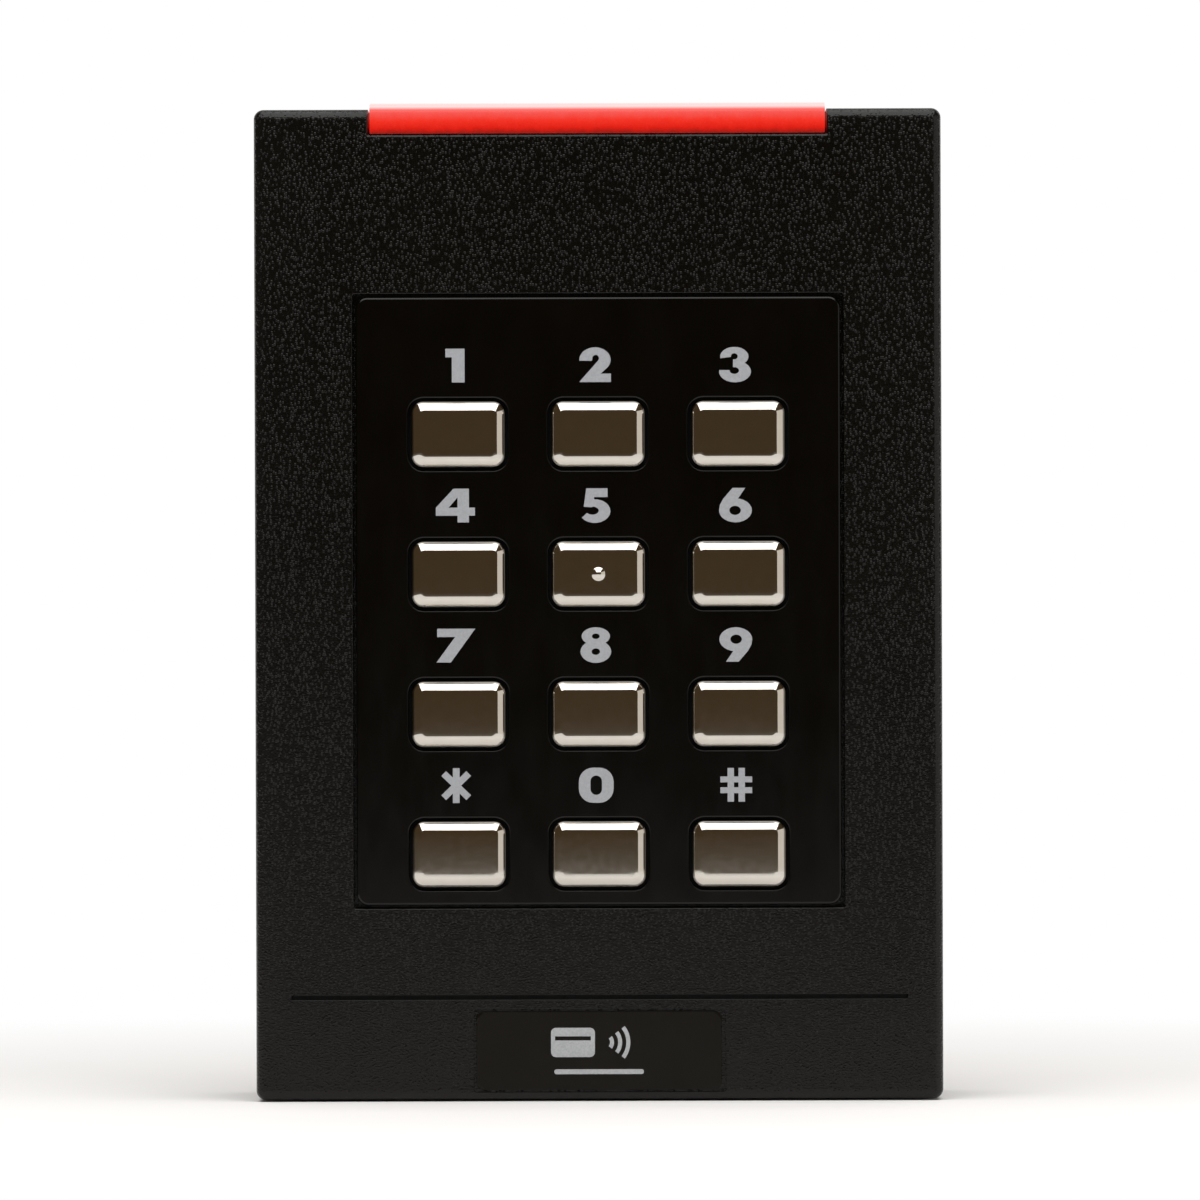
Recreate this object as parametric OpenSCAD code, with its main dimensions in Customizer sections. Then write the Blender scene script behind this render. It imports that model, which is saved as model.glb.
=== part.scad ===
// Wall-mounted keypad access reader: a contactless reader with a twelve-key keypad and a light bar.
//
// Every piece is drawn lying on its back: x runs to the right, y up the wall and z out from the
// wall. stand() then turns it upright, so that the front faces -Y and the top is at +Z.
// The origin is the centre of the mounting plate's wall face.

/* [Housing] */
// Width of the front housing
body_w = 84.5; // [80:0.5:110]
// Height of the front housing, without the light bar's lip
body_h = 121.8; // [119:0.1:150]
// Distance from the wall to the housing's front face
body_d = 26.4; // [25.6:0.2:36]
// Thickness of the side walls
wall = 2.2; // [1.6:0.1:2.8]
// Thickness of the front wall
front_t = 2.5; // [1.6:0.1:4]
// Radius of the four upright corners
corner_r = 1.2; // [0.6:0.1:3]
// Radius of the rounded edge round the front face
edge_r = 1.2; // [0.4:0.1:1.6]
// Gap between the wall and the housing's rear rim
rim_gap = 0.4; // [0.2:0.1:1]

/* [Keypad] */
// Distance between key centres, across and down
key_pitch = 17.2; // [16:0.2:21]
// Width of a key
key_w = 11.5; // [9.5:0.1:13]
// Height of a key
key_h = 8.1; // [6.8:0.1:10]
// Radius of a key's corners
key_r = 1.5; // [0.6:0.1:2.5]
// Height of a key's face above the bezel
key_rise = 1.2; // [1.2:0.1:2.4]
// Travel of a key
key_travel = 1.2; // [0.6:0.05:1.5]
// Gap between a key and its opening
key_gap = 0.4; // [0.2:0.05:0.6]
// Height of the keypad's centre above the housing's centre
keypad_y = 0.4; // [-2:0.1:3]
// Margin of the bezel beside the outer columns
bezel_side = 6.8; // [5:0.1:9]
// Margin of the bezel above the top row, which holds its legends
bezel_top = 12.8; // [12:0.1:16]
// Margin of the bezel below the bottom row
bezel_bottom = 2.2; // [2.1:0.1:5]
// Thickness of the bezel
bezel_t = 2.3; // [1.6:0.1:3]
// How far the bezel stands out of the housing
bezel_proud = 0.2; // [0:0.1:0.8]
// Gap round the bezel in its pocket
bezel_gap = 0.42; // [0.1:0.02:0.6]
// Height of the printed legends
legend_h = 4.15; // [3:0.05:5]

/* [Light bar and label] */
// Width of the light bar
light_w = 56; // [44:1:72]
// Height of the light bar's front face
light_h = 3.8; // [3:0.1:6]
// How far the light bar stands above the housing's top
light_lip = 0.75; // [0:0.05:2]
// Distance between the indicator lamps
led_pitch = 14; // [8:0.5:15]
// Width of the label
label_w = 30.1; // [24:0.1:60]
// Height of the label
label_h = 9.65; // [8:0.05:10.4]
// Length of the groove above the label
groove_l = 75.8; // [40:0.2:76]
// Width of the groove
groove_w = 0.6; // [0.3:0.05:1]

/* [Electronics] */
// Thickness of both circuit boards
board_t = 1.6; // [0.8:0.1:1.6]
// Distance between the two circuit boards
board_space = 3.6; // [3.5:0.1:5]
// Thickness of the potting behind the main board
potting_t = 2; // [1:0.1:2.4]
// Width of the antenna coil's winding
coil_w = 2.1; // [1.2:0.1:3]
// Depth of the antenna coil's winding
coil_t = 3.6; // [1.5:0.1:4.5]
// Number of wire terminals
terminal_count = 10; // [4:1:10]
// Distance between wire terminals
terminal_pitch = 3.5; // [3.5:0.01:3.81]

/* [Mounting plate] */
// Thickness of the mounting plate
plate_t = 2.4; // [1.6:0.1:3.2]
// Distance between the holes for a single-gang wall box
gang_spacing = 83.3; // [82:0.1:86]
// Distance between the holes for a round wall box
round_spacing = 60.3; // [56:0.1:66]
// Radius of the mounting holes
mount_hole_r = 2.1; // [1.6:0.05:2.4]
// Width of the cable opening
cable_w = 34; // [12:1:44]
// Height of the cable opening
cable_h = 44; // [12:1:56]
// Radius of the security screw's shank
cover_screw_r = 1.7; // [1.4:0.05:1.9]

/* [Hidden] */
$fn = 48;
key_names = ["1", "2", "3", "4", "5", "6", "7", "8", "9", "star", "0", "hash"];

// Colours
case_c = [0.09, 0.085, 0.08];
bezel_c = [0.03, 0.03, 0.028];
key_c = [0.75, 0.73, 0.7];
print_c = [0.72, 0.73, 0.74];
light_c = [0.9, 0.16, 0.12];
board_c = [0.05, 0.33, 0.18];
silicone_c = [0.45, 0.46, 0.48];
copper_c = [0.78, 0.45, 0.2];
gold_c = [0.85, 0.68, 0.3];
steel_c = [0.72, 0.72, 0.74];
chip_c = [0.12, 0.12, 0.13];
plate_c = [0.16, 0.16, 0.165];
potting_c = [0.07, 0.07, 0.075];
terminal_c = [0.12, 0.42, 0.3];
emblem_c = [0.1, 0.3, 0.55];

// Small amounts shared by the cuts and fits
over = 1;
bite = 0.5;
pin_fit = 0.05;
seat_gap = 0.1;
arc_steps = 6;

// The keypad's layout
columns = 3;
rows = 4;
bezel_w = (columns - 1) * key_pitch + key_w + 2 * bezel_side;
bezel_h = (rows - 1) * key_pitch + key_h + bezel_top + bezel_bottom;
top_row_y = keypad_y + bezel_h / 2 - bezel_top - key_h / 2;
bezel_r = 1.4;
bezel_edge = 0.35;
pocket_r = 0.3;
ledge_x = 2.2;
ledge_y = 1;
window_w = bezel_w - 2 * ledge_x;
window_h = bezel_h - 2 * ledge_y;
window_r = 1;
frame_wall = 4.6;
frame_w = window_w + 2 * frame_wall;
frame_h = window_h + 2 * frame_wall;
legend_rise = 4.4 + key_h / 2;
legend_shift = -0.35;
print_t = 0.08;

// Heights above the wall, from the front backwards
front_z = body_d;
inner_z = front_z - front_t;
gasket_t = 0.3;
gasket_in = 0.3;
bezel_face_z = front_z + bezel_proud;
bezel_back_z = bezel_face_z - bezel_t;
pocket_z = bezel_back_z - gasket_t;
flange_t = 1;
flange_lip = 0.85;
flange_z = bezel_back_z - seat_gap - flange_t;
key_top_z = bezel_face_z + key_rise;
frame_depth = 5;
pad_front_z = pocket_z - frame_depth;
pad_back_z = pad_front_z - board_t;
board_front_z = pad_back_z - board_space;
board_back_z = board_front_z - board_t;
potting_z = board_back_z - potting_t;

// A key's bevel, socket and tactile dot
key_inset = 1.35;
key_drop = 0.9;
dot_r = 0.8;
dot_rise = 0.35;
dot_ball_r = (dot_r * dot_r + dot_rise * dot_rise) / (2 * dot_rise);
tactile_key = 4;
hub_r = 2.25;
socket_r = hub_r + 0.1;
socket_depth = 1.5;

// The silicone mat and its contacts
mat_t = 1.2;
mat_gap = 0.3;
skirt_t = 0.5;
skirt_r = 4.2;
skirt_h = 2.4;
contact_t = 0.1;
contact_r = 2.6;
contact_split = 0.4;
pill_r = 1.8;
pill_t = 0.3;
pill_stop = 0.02;
pill_z = pad_front_z + contact_t + key_travel + pill_stop;

// The space inside the housing
cavity_w = body_w - 2 * wall;
cavity_h = body_h - 2 * wall;
cavity_r = 0.8;

// Circuit boards and their screws
board_gap = 1.05;
screw_tip = 0.8;
main_w = cavity_w - 2 * board_gap;
main_h = cavity_h - 2 * board_gap;
main_r = 1.5;
coil_gap = 0.3;
coil_lift = 0.2;
trace_w = 0.25;
trace_pitch = 0.45;
trace_t = 0.1;
trace_count = 3;
coil_outer_w = main_w - 2 * coil_gap;
coil_outer_h = main_h - 2 * coil_gap;
post_r = 3;
edge_band = max(coil_w, coil_gap + (trace_count - 1) * trace_pitch + trace_w + 0.2);
post_x = coil_outer_w / 2 - edge_band - post_r - 0.2;
post_y = coil_outer_h / 2 - edge_band - post_r - 1.1;
post_pilot = 8;
board_screw_r = 1.1;
board_head_r = 2.4;
board_head_h = 1.6;
pad_w = frame_w - 1.8;
pad_h = frame_h - 1.8;
pad_screw_r = 1;
pad_head_r = 1.9;
pad_head_h = 1.3;
pad_screw_x = window_w / 2 + frame_wall / 2;
pad_screw_pitch = pad_h * 0.43;
pad_pilot = 4;

// The board-to-board connector
pin_columns = 8;
pin_rows = 2;
pin_pitch = 2.54;
pin_r = 0.3;
header_y = 32;
header_t = 1.5;
pin_floor = 0.2;
socket_t = board_space - header_t - seat_gap;
header_w = pin_columns * pin_pitch;
header_h = pin_rows * pin_pitch;

// The light bar, from its lip back to its legs
light_top = body_h / 2 + light_lip;
light_bottom = light_top - light_h;
light_front_z = front_z - 0.15;
light_back_z = board_front_z + coil_lift + coil_t + 0.2;
light_r = 1.3;
light_fit = 0.2;
guide_t = 2;
guide_z = pad_front_z + 0.2;
led_count = 4;
led_w = 3.2;
led_h = 2.8;
led_t = 1.5;
led_lens_t = 0.2;
led_lens_r = led_h * 0.4;
led_y = coil_outer_h / 2 - coil_w - 4;
leg_w = 5;
leg_h = 2.2;
leg_gap = 0.3;
guide_w = (led_count - 1) * led_pitch + leg_w + 2;
guide_reach = light_bottom + bite - led_y + leg_h / 2;

// The groove, the label and its recess
groove_depth = 0.6;
groove_y = -body_h / 2 + 12.6;
recess_depth = 0.5;
recess_gap = 0.4;
recess_edge = 0.92;
recess_h = label_h + 0.6;
recess_w = label_w + 2 * recess_gap + 0.1;
recess_y = -body_h / 2 + recess_edge + recess_h / 2;
label_t = 0.45;
label_r = 1;
label_shift = -0.1;
label_z = front_z - recess_depth + label_t;

// The plain sign on the label
card_w = 5.4;
card_h = 3.6;
card_r = 0.6;
card_x = -3.2;
sign_y = 1;
stripe_t = 0.5;
wave_x = 0.6;
wave_step = 1;
wave_t = 0.5;
wave_turn = 38;
rule_w = 11;
rule_t = 0.6;
rule_y = -2.6;

// Parts on the main board
chip_t = 1.4;
chip_r = 0.4;
chip_w = 10;
chip_y = -8;
chip_dot_r = 0.5;
chip_dot_in = 1.2;
chip_dot_t = 0.1;
rf_w = 9;
rf_x = -15;
crystal_w = 3.2;
crystal_l = 5;
crystal_t = 1.1;
crystal_x = -10;
smd_l = 2;
smd_w = 1.2;
smd_t = 0.7;
smd_pitch = 2.6;
smd_side = 11.5;
smd_row = 9;
smd_lower_x = -24;
lower_y = -main_h / 2 + 10.5;
beeper_r = 6;
beeper_h = 3.2;
beeper_x = post_x - 9.4;
beeper_port_r = 1;
beeper_port_t = 0.8;
cap_r = 2.9;
cap_h = 3.2;
cap_x = -3;
cap_step = 4;
inductor_w = 7;
inductor_t = 3.2;
inductor_r = 1.6;
inductor_x = 7;

// The terminals behind the main board
terminal_h = 8;
terminal_depth = 8.3;
terminal_y = 20;
terminal_w = terminal_count * terminal_pitch;
terminal_z = board_back_z - terminal_depth;
entry_w = 2.5;
entry_t = 3;
entry_z = terminal_z + 4.3;
entry_depth = 5.8;
cage_w = 2.3;
cage_t = 2.8;
cage_l = 4.6;
cage_y = terminal_y - 0.6;
clamp_r = 0.75;
clamp_head_r = 1.15;
clamp_head_h = 1.2;
clamp_sink = 0.6;
clamp_slot = 0.4;
clamp_bite = 0.9;
cage_wall = 0.35;
cage_lift = 0.1;
cage_floor = 0.6;
tamper_x = -24;
tamper_y = -30;
tamper_w = 5;
tamper_t = 4;
tamper_window_r = 3;
tamper_eye_r = 1.5;
tamper_eye_t = 0.6;

// The mounting plate, its hooks and its screw tab
plate_gap = 0.4;
plate_w = cavity_w - 2 * plate_gap;
plate_h = cavity_h - 2 * plate_gap;
plate_r = 0.6;
cable_y = 8;
cable_r = 3.5;
hook_x = 22;
hook_w = 8;
hook_t = 1.6;
stem_t = 2;
rib_z = plate_t + 0.6;
rib_t = 2;
rib_reach = 3;
rib_w = 60;
hook_z = rib_z + rib_t + 0.2;
hook_top = cavity_h / 2 - 0.8;
stem_top = cavity_h / 2 - rib_reach - 0.3;
screw_z = plate_t + 3.6;
tab_w = 10;
tab_top = screw_z + 3.6;
tab_l = 7;
boss_reach = 2.5;
boss_w = 11;
boss_back = 3.2;
boss_front = 4;
tab_bottom = -cavity_h / 2 + boss_reach + 0.2;
boss_clear = 0.3;
insert_l = 6;
insert_wall = 0.55;
insert_fit = 0.02;
insert_bore = cover_screw_r + pin_fit;
insert_r = insert_bore + insert_wall;
cover_head_r = 3.4;
cover_head_h = 2;
cover_sink = 2.4;
cover_hole_fit = 0.2;
cover_screw_l = 7.5;

// ---------------------------------------------------------------------------------------------
// Helpers
// ---------------------------------------------------------------------------------------------

// Turns a piece from lying on its back to standing against the wall.
module stand() rotate([90, 0, 0]) children();

// Points along an arc of an ellipse.
function arc(cx, cy, rx, ry, from, to, steps = 16) =
    [for (i = [0:steps]) let (a = from + (to - from) * i / steps) [cx + rx * cos(a), cy + ry * sin(a)]];

// Outline of a rectangle with rounded corners.
function round_rect(w, h, r) = concat(
    arc(w / 2 - r, h / 2 - r, r, r, 0, 90, arc_steps),
    arc(r - w / 2, h / 2 - r, r, r, 90, 180, arc_steps),
    arc(r - w / 2, r - h / 2, r, r, 180, 270, arc_steps),
    arc(w / 2 - r, r - h / 2, r, r, 270, 360, arc_steps));

// Side view of a block whose two upper edges are rounded.
function crown(w, z0, z1, inset, drop) = concat(
    [[-w / 2, z0], [w / 2, z0]],
    arc(w / 2 - inset, z1 - drop, inset, drop, 0, 90, arc_steps),
    arc(inset - w / 2, z1 - drop, inset, drop, 90, 180, arc_steps));

// A flat block with rounded upright corners.
module slab(w, h, z0, z1, r)
    translate([0, 0, z0]) linear_extrude(z1 - z0) polygon(round_rect(w, h, r));

// A frame: a slab with a slab-shaped hole through it.
module ring_slab(w, h, inner_w, inner_h, z0, z1, r, inner_r)
    difference() {
        slab(w, h, z0, z1, r);
        slab(inner_w, inner_h, z0 - over, z1 + over, inner_r);
    }

// A slab whose front edges are rounded as well.
module crowned_slab(w, h, z0, z1, r, inset, drop)
    intersection() {
        slab(w, h, z0, z1, r);
        translate([0, h / 2 + over, 0]) rotate([90, 0, 0])
            linear_extrude(h + 2 * over) polygon(crown(w, z0 - over, z1, inset, drop));
        translate([-w / 2 - over, 0, 0]) rotate([90, 0, 90])
            linear_extrude(w + 2 * over) polygon(crown(h, z0 - over, z1, inset, drop));
    }

// A box centred in x and y, from z0 to z1.
module box(x, y, w, h, z0, z1) translate([x - w / 2, y - h / 2, z0]) cube([w, h, z1 - z0]);

// A round bar along z.
module rod(x, y, r, z0, z1) translate([x, y, z0]) cylinder(r = r, h = z1 - z0);

// A round bar along y, from y0 to y1, at height z.
module rod_y(r, y0, y1, z) translate([0, y1, z]) rotate([90, 0, 0]) cylinder(r = r, h = y1 - y0);

function key_x(i) = (i % columns - (columns - 1) / 2) * key_pitch;
function key_y(i) = top_row_y - floor(i / columns) * key_pitch;

// Puts its children at every key.
module at_keys() for (i = [0:columns * rows - 1]) translate([key_x(i), key_y(i), 0]) children();

// Puts its children at the four posts that hold the main board.
module at_posts() for (sx = [-1, 1], sy = [-1, 1]) translate([sx * post_x, sy * post_y, 0]) children();

// Puts its children at the six screws that hold the keypad board.
module at_pad_screws()
    for (sx = [-1, 1], row = [-1:1])
        translate([sx * pad_screw_x, keypad_y + row * pad_screw_pitch, 0]) children();

// Puts its children at every pin of the board-to-board connector.
module at_pins()
    for (i = [0:pin_columns - 1], j = [0:pin_rows - 1])
        translate([(i - (pin_columns - 1) / 2) * pin_pitch,
                   header_y + (j - (pin_rows - 1) / 2) * pin_pitch, 0]) children();

// Puts its children at every wire terminal.
module at_terminals()
    for (i = [0:terminal_count - 1])
        translate([(i - (terminal_count - 1) / 2) * terminal_pitch, 0, 0]) children();

// Puts its children at every indicator lamp.
module at_leds()
    for (i = [0:led_count - 1])
        translate([(i - (led_count - 1) / 2) * led_pitch, led_y, 0]) children();

// A screw along z with its head at the rear and a six-sided socket in it.
module rear_screw(head_r, head_h, shank_r, seat_z, length)
    difference() {
        union() {
            rod(0, 0, head_r, seat_z - head_h, seat_z);
            rod(0, 0, shank_r, seat_z - bite, seat_z + length);
        }
        translate([0, 0, seat_z - head_h - over])
            cylinder(r = head_r * 0.45, h = head_h / 2 + over, $fn = 6);
    }

// ---------------------------------------------------------------------------------------------
// Legends: each is drawn one unit high, with its base on y = 0 and centred on x = 0
// ---------------------------------------------------------------------------------------------

module bar(x, y, w, h, turn = 0) translate([x, y]) rotate(turn) square([w, h], center = true);

module lobe(x, y, rx, ry) polygon(arc(x, y, rx, ry, 0, 345, 23));

// A band between an outer and an inner arc.
module band(x, y, rx, ry, inner_x, inner_y, inner_rx, inner_ry, from, to)
    polygon(concat(arc(x, y, rx, ry, from, to), arc(inner_x, inner_y, inner_rx, inner_ry, to, from)));

module glyph_1()
    polygon([[-0.095, 0], [0.283, 0], [0.283, 1], [-0.283, 1], [-0.283, 0.745], [-0.095, 0.745]]);

module glyph_2()
    polygon(concat(
        [[-0.47, 0], [0.47, 0], [0.47, 0.25], [0.17, 0.25]],
        arc(0, 0.66, 0.465, 0.37, -38, 184),
        [[-0.09, 0.63]],
        arc(0.02, 0.705, 0.1, 0.1, 190, -40, 10)));

module glyph_3() {
    band(-0.02, 0.745, 0.42, 0.285, -0.02, 0.75, 0.1, 0.09, 190, -70);
    band(0, 0.3, 0.475, 0.32, -0.02, 0.33, 0.14, 0.1, 172, 440);
    polygon([[-0.06, 0.43], [0.2, 0.43], [0.2, 0.66], [-0.06, 0.66]]);
}

module glyph_4()
    difference() {
        polygon([[0.063, 0], [0.4, 0], [0.4, 0.2], [0.578, 0.2], [0.578, 0.44], [0.4, 0.44],
                 [0.4, 1], [-0.056, 1], [-0.578, 0.44], [-0.578, 0.2], [0.063, 0.2]]);
        polygon([[-0.2, 0.44], [0.063, 0.44], [0.063, 0.74]]);
    }

module glyph_5() {
    band(-0.02, 0.325, 0.465, 0.35, -0.09, 0.34, 0.19, 0.12, -146, 112);
    polygon([[-0.27, 1], [-0.345, 0.455], [-0.12, 0.44], [0.05, 0.5], [-0.03, 0.62],
             [-0.036, 0.74], [0.36, 0.74], [0.36, 1]]);
}

module glyph_6()
    difference() {
        union() {
            lobe(0, 0.335, 0.487, 0.355);
            polygon([[-0.083, 1], [-0.36, 0.68], [-0.46, 0.5], [-0.485, 0.34], [0, 0.3],
                     [0.06, 0.66], [0.29, 1]]);
        }
        lobe(-0.01, 0.335, 0.17, 0.135);
    }

module glyph_7()
    polygon([[-0.575, 0], [-0.148, 0], [0.578, 1], [-0.55, 1], [-0.55, 0.755], [-0.02, 0.755]]);

module glyph_8()
    difference() {
        union() {
            lobe(0, 0.765, 0.42, 0.265);
            lobe(0, 0.31, 0.455, 0.335);
        }
        lobe(0, 0.765, 0.115, 0.08);
        lobe(0, 0.31, 0.125, 0.095);
    }

module glyph_9() translate([0, 1]) rotate(180) glyph_6();

module glyph_star() for (turn = [-46, 0, 46]) bar(0, 0.5, 0.2, 1.03, turn);

module glyph_0()
    difference() {
        polygon([for (p = round_rect(1.03, 1.04, 0.42)) p + [0, 0.5]]);
        polygon([for (p = round_rect(0.34, 0.57, 0.165)) p + [0, 0.5]]);
    }

module glyph_hash() {
    for (x = [-0.162, 0.162]) bar(x, 0.5, 0.19, 1);
    for (y = [0.34, 0.66]) bar(0, y, 0.94, 0.175);
}

module glyph(i) {
    if (i == 0) glyph_1();
    if (i == 1) glyph_2();
    if (i == 2) glyph_3();
    if (i == 3) glyph_4();
    if (i == 4) glyph_5();
    if (i == 5) glyph_6();
    if (i == 6) glyph_7();
    if (i == 7) glyph_8();
    if (i == 8) glyph_9();
    if (i == 9) glyph_star();
    if (i == 10) glyph_0();
    if (i == 11) glyph_hash();
}

// ---------------------------------------------------------------------------------------------
// Front: housing, light bar, bezel and label
// ---------------------------------------------------------------------------------------------

// What the housing is made of before its front is cut.
module housing_walls() {
    difference() {
        crowned_slab(body_w, body_h, rim_gap, front_z, corner_r, edge_r, edge_r);
        slab(cavity_w, cavity_h, rim_gap - over, inner_z, cavity_r);
    }
    translate([0, keypad_y, 0]) slab(frame_w, frame_h, pad_front_z, inner_z + bite, window_r);
    at_posts() rod(0, 0, post_r, board_front_z, inner_z + bite);
    translate([-rib_w / 2, cavity_h / 2 - rib_reach, rib_z]) cube([rib_w, rib_reach + bite, rib_t]);
    translate([-boss_w / 2, -cavity_h / 2 - bite, screw_z - boss_back])
        cube([boss_w, boss_reach + bite, boss_back + boss_front]);
}

// The housing: a box open at the wall, with the bezel's pocket and window in its front.
module front_housing() color(case_c) stand() difference() {
    housing_walls();
    translate([0, keypad_y, 0]) {
        slab(bezel_w + 2 * bezel_gap, bezel_h + 2 * bezel_gap, pocket_z, front_z + over, pocket_r);
        slab(window_w, window_h, pad_front_z - over, front_z + over, window_r);
    }
    at_pad_screws() rod(0, 0, pad_screw_r + pin_fit, pad_front_z - over, pad_front_z + pad_pilot);
    at_posts() rod(0, 0, board_screw_r + pin_fit, board_front_z - over, board_front_z + post_pilot);
    translate([-light_w / 2 - light_fit, light_bottom - seat_gap, light_back_z - seat_gap])
        cube([light_w + 2 * light_fit, light_h + over, light_front_z - light_back_z + over]);
    translate([-guide_w / 2 - light_fit, led_y - leg_h / 2, guide_z - light_fit])
        cube([guide_w + 2 * light_fit, guide_reach + light_fit, guide_t + 2 * light_fit]);
    box(0, groove_y, groove_l, groove_w, front_z - groove_depth, front_z + over);
    translate([0, recess_y, 0])
        slab(recess_w, recess_h, front_z - recess_depth, front_z + over, pocket_r);
    rod_y(cover_screw_r + cover_hole_fit, -body_h / 2 - over, -cavity_h / 2 + boss_reach + over, screw_z);
    rod_y(cover_head_r + cover_hole_fit, -body_h / 2 - over, -body_h / 2 + cover_sink, screw_z);
}

// The light bar: a red light pipe with four legs that reach back to the lamps.
module light_bar() color(light_c) stand() {
    translate([-light_w / 2, 0, 0]) rotate([90, 0, 90]) linear_extrude(light_w)
        polygon(concat(
            [[light_bottom, light_back_z], [light_top, light_back_z]],
            arc(light_top - light_r, light_front_z - light_r, light_r, light_r, 0, 90, arc_steps),
            [[light_bottom, light_front_z]]));
    translate([-guide_w / 2, led_y - leg_h / 2, guide_z])
        cube([guide_w, guide_reach, guide_t]);
    at_leds() box(0, 0, leg_w, leg_h, board_front_z + led_t + leg_gap, guide_z + bite);
}

// The bezel: a smooth plate with an opening for each key.
module keypad_bezel() color(bezel_c) stand() difference() {
    translate([0, keypad_y, 0])
        crowned_slab(bezel_w, bezel_h, bezel_back_z, bezel_face_z, bezel_r, bezel_edge, bezel_edge);
    at_keys() slab(key_w + 2 * key_gap, key_h + 2 * key_gap, bezel_back_z - over,
                   bezel_face_z + over, key_r + key_gap);
}

// The adhesive gasket that holds the bezel on the pocket's ledge.
module bezel_gasket() color(chip_c) stand() translate([0, keypad_y, 0])
    ring_slab(bezel_w - 2 * gasket_in, bezel_h - 2 * gasket_in, window_w + 2 * seat_gap,
              window_h + 2 * seat_gap, pocket_z, bezel_back_z, window_r, window_r);

// The digits and signs printed above the keys.
module key_legends() color(print_c) stand()
    for (i = [0:columns * rows - 1])
        translate([key_x(i) + legend_shift, key_y(i) + legend_rise - legend_h / 2, bezel_face_z])
            linear_extrude(print_t) scale([legend_h, legend_h]) glyph(i);

module label_plate() color(chip_c) stand() translate([label_shift, recess_y, 0])
    slab(label_w, label_h, label_z - label_t, label_z, label_r);

// A plain sign on the label: a card, three waves and a line under them.
module label_emblem() color(emblem_c) stand() translate([label_shift, recess_y, label_z])
    linear_extrude(print_t) {
        translate([card_x, sign_y]) difference() {
            polygon(round_rect(card_w, card_h, card_r));
            translate([0, stripe_t]) square([card_w - stripe_t * 2, stripe_t], center = true);
        }
        for (i = [1:3]) {
            r = i * wave_step + wave_t / 2;
            band(wave_x, sign_y, r, r, wave_x, sign_y, r - wave_t, r - wave_t, -wave_turn, wave_turn);
        }
        translate([0, rule_y]) polygon(round_rect(rule_w, rule_t, rule_t * 0.45));
    }

// ---------------------------------------------------------------------------------------------
// Keypad: caps, plungers, mat and board
// ---------------------------------------------------------------------------------------------

// A hard key cap with a flange behind the bezel and a blind socket for its plunger.
module keycap(i) color(key_c) stand() translate([key_x(i), key_y(i), 0]) difference() {
    union() {
        crowned_slab(key_w, key_h, flange_z, key_top_z, key_r, key_inset, key_drop);
        slab(key_w + 2 * flange_lip, key_h + 2 * flange_lip, flange_z, flange_z + flange_t,
             key_r + flange_lip);
        if (i == tactile_key)
            translate([0, 0, key_top_z + dot_rise - dot_ball_r]) sphere(r = dot_ball_r);
    }
    rod(0, 0, socket_r, flange_z - over, flange_z + socket_depth);
}

// The silicone hub that stands in the cap, with the conductive pill under it.
module plunger(i) color(silicone_c) stand() translate([key_x(i), key_y(i), 0]) {
    rod(0, 0, hub_r, pill_z + pill_t, flange_z + socket_depth - pin_fit);
    rod(0, 0, pill_r, pill_z, pill_z + pill_t + pin_fit);
}

// The silicone mat on the keypad board, open under every key.
module keypad_mat() color(silicone_c) stand() difference() {
    translate([0, keypad_y, 0])
        slab(window_w - 2 * mat_gap, window_h - 2 * mat_gap, pad_front_z, pad_front_z + mat_t, window_r);
    at_keys() rod(0, 0, skirt_r - skirt_t, pad_front_z - over, pad_front_z + mat_t + over);
}

// The thin cones that join the mat to the plungers and spring the keys back.
module dome_skirts() color(silicone_c) stand() at_keys()
    translate([0, 0, pad_front_z + mat_t]) difference() {
        cylinder(r1 = skirt_r, r2 = hub_r + pin_fit + skirt_t, h = skirt_h);
        cylinder(r1 = skirt_r - skirt_t, r2 = hub_r + pin_fit, h = skirt_h);
    }

// The split gold contacts under the keys.
module contact_pads() color(gold_c) stand() at_keys() difference() {
    rod(0, 0, contact_r, pad_front_z, pad_front_z + contact_t);
    box(0, 0, contact_split, 3 * contact_r, pad_front_z - over, pad_front_z + over);
}

module keypad_board() color(board_c) stand() difference() {
    translate([0, keypad_y, 0]) slab(pad_w, pad_h, pad_back_z, pad_front_z, window_r);
    at_pad_screws() rod(0, 0, pad_screw_r + 0.2, pad_back_z - over, pad_front_z + over);
}

module keypad_screws() color(steel_c) stand() at_pad_screws()
    rear_screw(pad_head_r, pad_head_h, pad_screw_r, pad_back_z, board_t + pad_pilot - screw_tip);

// ---------------------------------------------------------------------------------------------
// Electronics
// ---------------------------------------------------------------------------------------------

module board_socket() color(chip_c) stand() difference() {
    box(0, header_y, header_w, header_h, pad_back_z - socket_t, pad_back_z);
    at_pins() rod(0, 0, pin_r + pin_fit, pad_back_z - socket_t - over, pad_back_z - pin_floor);
}

module board_header() color(chip_c) stand() difference() {
    box(0, header_y, header_w, header_h, board_front_z, board_front_z + header_t);
    at_pins() rod(0, 0, pin_r + pin_fit, board_front_z - over, board_front_z + header_t + over);
}

module header_pins() color(gold_c) stand()
    at_pins() rod(0, 0, pin_r, board_back_z, pad_back_z - 2 * pin_floor);

module main_board() color(board_c) stand() difference() {
    slab(main_w, main_h, board_back_z, board_front_z, main_r);
    at_posts() rod(0, 0, board_screw_r + 0.3, board_back_z - over, board_front_z + over);
    at_pins() rod(0, 0, pin_r + pin_fit, board_back_z - over, board_front_z + over);
}

module board_screws() color(steel_c) stand() at_posts()
    rear_screw(board_head_r, board_head_h, board_screw_r, board_back_z, board_t + post_pilot - screw_tip);

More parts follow.
